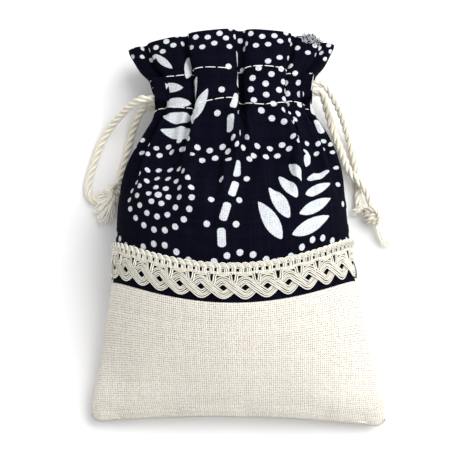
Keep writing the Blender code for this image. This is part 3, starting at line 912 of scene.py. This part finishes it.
def squeezed(facing):
    """The facing, drawn in and made narrower where the cords pass."""
    y, z = facing[..., 1], facing[..., 2]
    pinch = smooth_step(y, SLIT_FROM - 0.4, SLIT_FROM + 1.4)
    pinch = pinch * (1 - smooth_step(y, SLIT_TO, SLIT_TO + 1.8))
    facing[..., 2] = NECK_Z + (z - NECK_Z) * (FACING_HEIGHT - FACING_SQUEEZE * pinch)
    facing[..., 0] *= 1 - (1 - FACING_REACH) * pinch
    return facing


def neck_quarter(cloth, face, low, outer_rows, inner_rows):
    """A quarter of the casing and heading from s = low, folded over at its top edge, with its s, v and uv."""
    across = spaced(low, low + PANEL_WIDTH / 2)
    outer, outer_s, outer_v = panel_points(cloth, across, outer_rows)
    kept_out = np.maximum if face > 0 else np.minimum
    outer[..., 2] = kept_out(outer[..., 2], NECK_Z + face * slit_opening(outer[..., 1]))
    inner, inner_s, inner_v = panel_points(cloth, across, inner_rows, -FACING_BEHIND)
    s = np.concatenate([outer_s, inner_s], 1)
    v = np.concatenate([outer_v, inner_v], 1)
    uv = cloth_uv(s, np.concatenate([outer_v, 2 * PANEL_LENGTH - inner_v], 1))
    return np.concatenate([outer, squeezed(inner)], axis=1), s, v, uv


def add_neck(cloth, material):
    """Casing and heading in four quarters, each folded over at the top edge and hemmed down inside."""
    outer_rows = spaced(v_at(NECK_LINE), PANEL_LENGTH)
    inner_rows = spaced(v_at(CASING_BOTTOM - 1.5), PANEL_LENGTH - 0.2)[::-1]
    layers = ("casing", "facing", "heading")
    for face_name, face in (("front", 1), ("back", -1)):
        for side_name, side in (("left", -1), ("right", 1)):
            low = {(1, -1): 0.0, (1, 1): 0.5, (-1, 1): 1.0, (-1, -1): 1.5}[face, side] * PANEL_WIDTH
            points, s, v, uv = neck_quarter(cloth, face, low, outer_rows, inner_rows)
            piece = sheet_piece(
                f"neck_{face_name}_{side_name}", points, uv, CLOTH_THICKNESS * 0.8, material,
                {"print": print_field(s, v)},
            )
            gather(piece)
            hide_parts(*[f"{layer}_{face_name}_pleats_{side_name}" for layer in layers])
            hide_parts(f"casing_{face_name}_end_{side_name}")
            if side < 0:
                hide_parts(*[f"{layer}_{face_name}" for layer in layers])
            if face > 0:
                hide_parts(f"heading_end_{side_name}")


def add_tuft(cloth, material):
    """Short loose threads at the hem's corner, one navy to two white."""
    rng = np.random.default_rng(6)
    shape, prints = Shape(), []
    for n in range(TUFT_THREADS):
        root = cloth.lifted(*(rng.normal(TUFT_AT, TUFT_SPREAD).tolist()), 0.1)
        way = unit(rng.normal((0.1, 0.55, 0.5), (0.6, 0.3, 0.3)))
        t = np.linspace(0, 1, 6)[:, None]
        curl = rng.normal(0, 0.35, 3) * np.sin(math.pi * t)
        before = shape.count
        shape.tube(root + way * rng.uniform(0.9, 2.4) * t + curl, 0.17 * (1.1 - 0.4 * t[:, 0]), 5)
        prints.append(np.full(shape.count - before, 1.0 if n % 3 == 0 else -1.0))
    piece = shape.made("hem_tuft", material, {"print": np.concatenate(prints)})
    gather(piece)


def add_stitches(cloth, material):
    """The two rows of running stitches, below and above the channel."""
    rng = np.random.default_rng(3)
    for row, (height, wander, wave) in STITCH_ROWS.items():
        for face_name, low in (("front", 0.0), ("back", PANEL_WIDTH)):
            for side_name, side in (("left", -1), ("right", 1)):
                start = low + (0 if (face_name == "front") == (side < 0) else PANEL_WIDTH / 2)
                shape = Shape()
                at = start + STITCHES_FROM
                while at < start + PANEL_WIDTH / 2 - STITCHES_TO:
                    length = rng.uniform(*STITCH_LENGTHS)
                    ends = height + wander * np.sin(2 * math.pi * np.array([at, at + length]) / wave)
                    add_stitch(shape, cloth, (at, at + length), ends)
                    at += length + rng.uniform(*STITCH_GAPS)
                piece = shape.made(f"{row}_stitches_{face_name}_{side_name}", material)
                gather(piece)
                if side < 0:
                    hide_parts(f"{row}_stitching_{face_name}")


def add_stitch(shape, cloth, across, up):
    """One stitch between two places, given as both values of s and both values of v."""
    t = np.linspace(0, 1, 9)
    s = across[0] + (across[1] - across[0]) * t
    v = up[0] + (up[1] - up[0]) * t
    lift = 0.12 - 0.4 * np.abs(2 * t - 1) ** 8
    radius = STITCH_RADIUS * (1 - 0.4 * np.abs(2 * t - 1) ** 4)
    shape.tube(cloth.lifted(s, v, lift), radius, 6, up=cloth.normal(s, v))


# ---- lace ---------------------------------------------------------------------------------

LACE_REPEAT = GIRTH / 15
LACE_STEP = LACE_REPEAT / 6
LACE_THREAD = 0.26
BRAID_CENTRE, BRAID_WAVE, BRAID_SPACING = 3.45, 2.05, 0.53
# The level threads over the bows: how wide and how deep each hangs.
LACE_LEVEL, LACE_LOOPS = 7.25, ((1.15, 2.7), (0.62, 2.6), (0.2, 0.0))
HEADER_LOW, HEADER_HIGH = 7.5, 9.7
LACE_BARS, LACE_ARCHES = (-0.44, 0.0, 0.44), (1.3, 0.86, 0.42)


def add_lace(cloth, material):
    for name, low in (("front", 0.0), ("back", PANEL_WIDTH)):
        shape = Shape()
        braid(shape, cloth, low)
        lace_loops(shape, cloth, low)
        lace_header(shape, cloth, low)
        piece = shape.made(f"lace_band_{name}", material)
        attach(piece, "sack")
        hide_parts(f"lace_{name}")


def lace_thread(shape, cloth, s, w, lift):
    """One thread of the lace, w above the lower edge of the band and this far off the cloth."""
    s, w, lift = np.broadcast_arrays(s, w, lift)
    v = v_at(LACE_BOTTOM) + w
    points = cloth.lifted(s, v, 0.15 + LACE_THREAD + lift)
    points[:, 2] = np.maximum(points[:, 2], LACE_THREAD + 0.05)
    shape.tube(points, LACE_THREAD, 6, up=cloth.normal(s, v))


def braid(shape, cloth, low):
    """Two bands of parallel threads that wave across each other and leave an eyelet in each bow."""
    s = spaced(low, low + PANEL_WIDTH, 0.35)
    phase = 2 * math.pi * s / LACE_REPEAT
    for band in (1, -1):
        centre = band * BRAID_WAVE * (np.cos(phase) + 0.08 * np.cos(3 * phase))
        slope = np.gradient(centre, s)
        across = np.stack([-slope, np.ones_like(slope)], axis=1) / np.hypot(1, slope)[:, None]
        over = band * 0.3 * np.sin(phase)
        for k in range(-2, 3):
            off = k * BRAID_SPACING * across
            edge = np.clip(s + off[:, 0], low, low + PANEL_WIDTH)
            uneven = 0.07 * np.sin(0.9 * s + 2.1 * k + band)
            w = BRAID_CENTRE + centre + off[:, 1] + uneven
            lace_thread(shape, cloth, edge, w, 0.32 + over - 0.04 * abs(k))


def lace_loops(shape, cloth, low):
    """Threads that run level over the bows, of which two hang down in a nested loop between bows."""
    rng = np.random.default_rng(5)
    s = spaced(low, low + PANEL_WIDTH, 0.2)
    half = LACE_REPEAT / 2
    off = (s % half) - half / 2
    vary = rng.uniform(-0.25, 0.25, (3, round(GIRTH / half) + 1))
    loop = (s // half).astype(int)
    for k, (reach, drop) in enumerate(LACE_LOOPS):
        reach = reach + 0.4 * vary[0, loop]
        hang = 1 - smooth_step(np.abs(off - vary[1, loop]), reach - 0.3, reach + 0.3)
        level = LACE_LEVEL + 0.4 * k + 0.12 * np.cos(2 * math.pi * off / half)
        lace_thread(shape, cloth, s, level - (drop + vary[2, loop]) * hang, 0.32 + 0.3 * hang)


def lace_header(shape, cloth, low):
    """Upright bars in threes, and small overlapping arches along the top edge."""
    rng = np.random.default_rng(8)
    for n in range(round(PANEL_WIDTH / LACE_STEP)):
        at = low + (n + 0.5) * LACE_STEP
        w = np.linspace(HEADER_LOW, HEADER_HIGH + 0.3, 10)
        for bar in LACE_BARS:
            lean = bar * (1 + 0.25 * np.sin((w - HEADER_LOW) * 1.5)) + rng.uniform(-0.1, 0.1)
            lace_thread(shape, cloth, at + lean, w, 0.3 + rng.uniform(-0.05, 0.05))
        turn = np.linspace(-0.2, math.pi + 0.2, 15)
        for k, radius in enumerate(LACE_ARCHES):
            s = at + LACE_STEP / 2 + radius * np.cos(turn)
            w = HEADER_HIGH + radius * np.sin(turn) * 0.9
            lace_thread(shape, cloth, s, w, 0.45 + 0.25 * np.cos(turn) - 0.05 * k)
    s = spaced(low, low + PANEL_WIDTH, 0.5)
    for w, wave in ((HEADER_HIGH + 0.1, 2.1), (HEADER_HIGH - 0.25, 1.3), (HEADER_LOW + 0.45, 1.7)):
        lace_thread(shape, cloth, s, w + 0.12 * np.sin(s * wave), 0.12)


# ---- cords --------------------------------------------------------------------------------

def add_rope(shape, route, diameter=CORD_DIAMETER, pitch=CORD_PITCH, step=0.35):
    """Twisted plies along a route, nipped together at its ends."""
    line = along_route(route, step)
    tangent = unit(np.gradient(line, axis=0))
    first = carried(tangent)
    second = np.cross(tangent, first)
    ply = diameter / 2 * 0.48
    length = running_length(line)
    turn = length / pitch * 2 * math.pi
    slim = 1 - 0.3 * np.exp(-((np.minimum(length, length[-1] - length) / 0.7) ** 2))
    for k in range(PLIES):
        angle = turn + k * 2 * math.pi / PLIES
        way = first * np.cos(angle)[:, None] + second * np.sin(angle)[:, None]
        shape.tube(line + way * ((diameter / 2 - ply) * slim)[:, None], ply * slim, 10, up=way)


def add_hairs(shape, route, seed):
    """Short stray fibres that stand off a cord."""
    rng = np.random.default_rng(seed)
    line = along_route(route, 0.5)
    tangent = unit(np.gradient(line, axis=0))
    for n in rng.integers(2, len(line) - 2, HAIRS_PER_STRAND):
        out = unit(np.cross(tangent[n], rng.normal(size=3)))
        t = np.linspace(0, 1, 5)[:, None]
        reach = rng.uniform(0.5, 1.3)
        lean = tangent[n] * rng.choice((-1, 1)) * reach * 1.3
        points = line[n] + out * (CORD_DIAMETER / 2 * 0.9 + reach * t) + lean * t**1.5
        points[:, 2] = np.maximum(points[:, 2], 0.1)
        shape.tube(points, 0.035 * (1.2 - t[:, 0]), 3)


def add_knot(shape, centre, size, heading):
    """A tight knot: the cord wound round itself along a level heading, over a filled core."""
    t = np.linspace(0, 1, 90)[:, None]
    along = np.array([math.cos(heading), math.sin(heading), 0])
    side = np.array([-along[1], along[0], 0])
    turn = 2 * math.pi * KNOT_TURNS * t
    radius = (size - KNOT_CORD / 2) * (0.35 + 0.65 * np.sin(math.pi * np.clip(t * 1.02, 0, 1)) ** 0.35)
    across = side * np.cos(turn) + np.array([0, 0, 0.85]) * np.sin(turn)
    winding = centre + across * radius + along * (t - 0.5) * size * 1.25
    add_rope(shape, winding, KNOT_CORD, KNOT_PITCH, step=0.3)
    bridge = np.array(KNOT_BRIDGE)
    over = bridge[:, :1] * along + bridge[:, 1:2] * side + bridge[:, 2:] * (0, 0, 1)
    add_rope(shape, centre + size * over * 0.95, KNOT_CORD * 0.85, KNOT_PITCH, step=0.3)
    core = centre + along * np.linspace(-0.7, 0.7, 7)[:, None] * size
    shape.tube(core, np.array([0.25, 0.5, 0.62, 0.66, 0.62, 0.5, 0.25]) * size, 10)


def add_fray(shape, start, end, spread, count, seed):
    """Loose plies that fan out from a knot, each with its end frayed into finer fibres."""
    rng = np.random.default_rng(seed)
    start, end = np.array(start), np.array(end)
    way = unit(end - start)
    side = unit(np.cross((0, 0, 1), way))
    length = np.linalg.norm(end - start)
    for n in range(count):
        fan = np.clip(2 * (n + rng.uniform(0.2, 0.8)) / count - 1, -1, 1)
        thick = FRAY_RADIUS * rng.uniform(0.35, 1.0) if n % 3 else FRAY_RADIUS
        reach = length * rng.uniform(0.7, 1.05) * (1 - 0.15 * fan**2)
        curl = rng.normal(0, 0.4, 3) * (1, 1, 0.5)
        t = np.linspace(0, 1, 14)[:, None]
        points = start + side * 0.7 * fan * (1 - t) + way * reach * t + side * spread * fan * t**1.2
        points = points + np.array([0, 0, 1.0]) * rng.uniform(-0.5, 0.9) * (1 - 0.4 * t)
        points = points + curl * np.sin(math.pi * t**1.4) * 0.9
        points[:, 2] = np.maximum(points[:, 2], thick + 0.05)
        shape.tube(points, thick * (1 - 0.6 * t[:, 0] ** 4), 6)
        for _ in range(3 if n % 3 == 0 else 0):
            tip = points[-4] + (points[-1] - points[-4]) * t[::3] * rng.uniform(1.0, 1.5)
            tip = tip + rng.normal(0, 0.35, 3) * t[::3] ** 1.5
            tip[:, 2] = np.maximum(tip[:, 2], 0.12)
            shape.tube(tip, 0.09, 4)


def run_route(side, y):
    """A cord's way through the casing: along the front channel, round the far hem and back."""
    exit_x, turn_x = side * (EXIT_X + RUN_BEYOND_EXIT), -side * RUN_TURN_X
    front = [(x, y, NECK_Z + CHANNEL_Z) for x in np.linspace(exit_x, turn_x, 12)]
    bend = [
        (turn_x - side * CHANNEL_Z * math.sin(a), y, NECK_Z + CHANNEL_Z * math.cos(a))
        for a in np.linspace(0, math.pi, 9)[1:-1]
    ]
    back = [(x, y, NECK_Z - CHANNEL_Z) for x in np.linspace(turn_x, exit_x, 12)]
    return front + bend + back


def add_strand(name, route, body, material, seed):
    shape = Shape()
    add_rope(shape, route)
    add_hairs(shape, route, seed)
    piece = shape.made(f"{name}_cord", material)
    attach(piece, body)
    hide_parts(f"{name}_strand")
    return piece


def declare_strand(route):
    path = along_route(route, 1.0)
    float(running_length(along_route(route, 0.2))[-1]) * MM


def add_knot_and_tassel(name, material, ends_material):
    """A loop's knot and its frayed ends."""
    knot, tassel = Shape(), Shape()
    if name == "left":
        add_knot(knot, np.array(LEFT_KNOT), LEFT_KNOT_SIZE, math.radians(LEFT_KNOT_HEADING))
        add_left_tassel(tassel)
    else:
        add_knot(knot, np.array(RIGHT_KNOT), RIGHT_KNOT_SIZE, math.radians(RIGHT_KNOT_HEADING))
        add_right_tassel(tassel)
    knot_piece = knot.made(f"{name}_cord_knot", material)
    tassel_piece = tassel.made(f"{name}_cord_tassel", ends_material)
    for piece, node in ((knot_piece, "knot"), (tassel_piece, "tassel")):
        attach(piece, f"{name}_loop")
        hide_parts(f"{name}_{node}")
    return knot_piece, tassel_piece


def add_cords(material, ends_material):
    sides = {
        "left": (-1, LEFT_CORD_Y, LEFT_UPPER_ROUTE, LEFT_LOWER_ROUTE),
        "right": (1, RIGHT_CORD_Y, RIGHT_UPPER_ROUTE, RIGHT_LOWER_ROUTE),
    }
    for name, (side, y, upper, lower) in sides.items():
        run = Shape()
        add_rope(run, run_route(side, y), CORD_IN_CASING)
        piece = run.made(f"{name}_cord_in_casing", material)
        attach(piece, f"{name}_drawstring")
        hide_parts(f"{name}_drawstring_run")

        upper_piece = add_strand(f"{name}_upper", upper, f"{name}_loop", material, 11)
        lower_piece = add_strand(f"{name}_lower", lower, f"{name}_loop", material, 12)
        ends = add_knot_and_tassel(name, material, ends_material)
        declare_strand(upper)
        declare_strand(lower)


def add_left_tassel(shape):
    """The long frayed end below the knot, and a shorter one that lies over the outer cord."""
    root = np.array(LEFT_KNOT) - (0.6, 2.0, 0)
    add_fray(shape, root, LEFT_TASSEL_TIP, 3.6, 44, 21)
    add_fray(shape, root + (-0.8, 0.8, 0.8), (-46.6, 73.2, 3.2), 1.8, 18, 22)
    add_fray(shape, root + (-0.6, 2.2, 1.2), (-46.0, 77.6, 3.4), 1.4, 14, 24)


def add_right_tassel(shape):
    """The frayed end below the knot, and the cut stub of the other cord beside it."""
    root = np.array(RIGHT_KNOT) + (1.0, -2.2, -0.2)
    add_fray(shape, root, RIGHT_TASSEL_TIP, 2.0, 36, 21)
    add_fray(shape, root + (1.0, 1.8, 0.4), (51.8, 63.4, 3.0), 1.1, 12, 24)
    add_fray(shape, (43.0, 69.6, 3.4), (38.9, 68.2, 2.2), 0.8, 16, 23)


# ---- camera, light and floor --------------------------------------------------------------

def add_camera():
    data = bpy.data.cameras.new("camera")
    data.lens, data.sensor_width = CAMERA_LENS, 36
    camera = bpy.data.objects.new("camera", data)
    bpy.context.scene.collection.objects.link(camera)
    up, turn = math.radians(CAMERA_ELEVATION), math.radians(CAMERA_TURN)
    back = Vector((math.sin(turn) * math.cos(up), -math.cos(turn) * math.cos(up), math.sin(up)))
    camera.location = Vector(place([CAMERA_TARGET])[0]) + back * CAMERA_DISTANCE * MM
    camera.rotation_mode = "QUATERNION"
    camera.rotation_quaternion = (-back).to_track_quat("-Z", "Y")
    data.clip_start, data.clip_end = 0.01, 10
    bpy.context.scene.camera = camera


def add_key_light():
    data = bpy.data.lights.new("key", "AREA")
    data.size, data.energy = KEY_LIGHT_SIZE, KEY_LIGHT_POWER
    lamp = bpy.data.objects.new("key", data)
    lamp.location = KEY_LIGHT_AT
    lamp.rotation_mode = "QUATERNION"
    lamp.rotation_quaternion = (-Vector(KEY_LIGHT_AT)).to_track_quat("-Z", "Y")
    bpy.context.scene.collection.objects.link(lamp)


def add_stage():
    world = bpy.data.worlds.new("studio")
    world.use_nodes = True
    background = world.node_tree.nodes["Background"]
    background.inputs["Color"].default_value = (1, 1, 1, 1)
    background.inputs["Strength"].default_value = WORLD_STRENGTH
    bpy.context.scene.world = world
    bpy.context.scene.view_settings.view_transform = "Standard"
    add_key_light()
    bpy.ops.mesh.primitive_plane_add(size=FLOOR_SIZE, location=(0, 0, -FLOOR_BELOW))
    floor = bpy.context.object
    floor.name = "table"
    floor.data.materials.append(table_material())


# ---- everything ---------------------------------------------------------------------------

add_camera()
add_stage()
add_cords(yarn_material("cotton_cord"), yarn_material("cotton_cord_ends"))

grid = start_shape()
cloth = Cloth(settled(grid))
printed = printed_material()
thread = yarn_material("sewing_thread")
add_linen(cloth, linen_material())
add_printed_body(cloth, printed)
add_neck(cloth, printed)
add_tuft(cloth, printed)
add_stitches(cloth, thread)
add_lace(cloth, yarn_material("cotton_lace"))
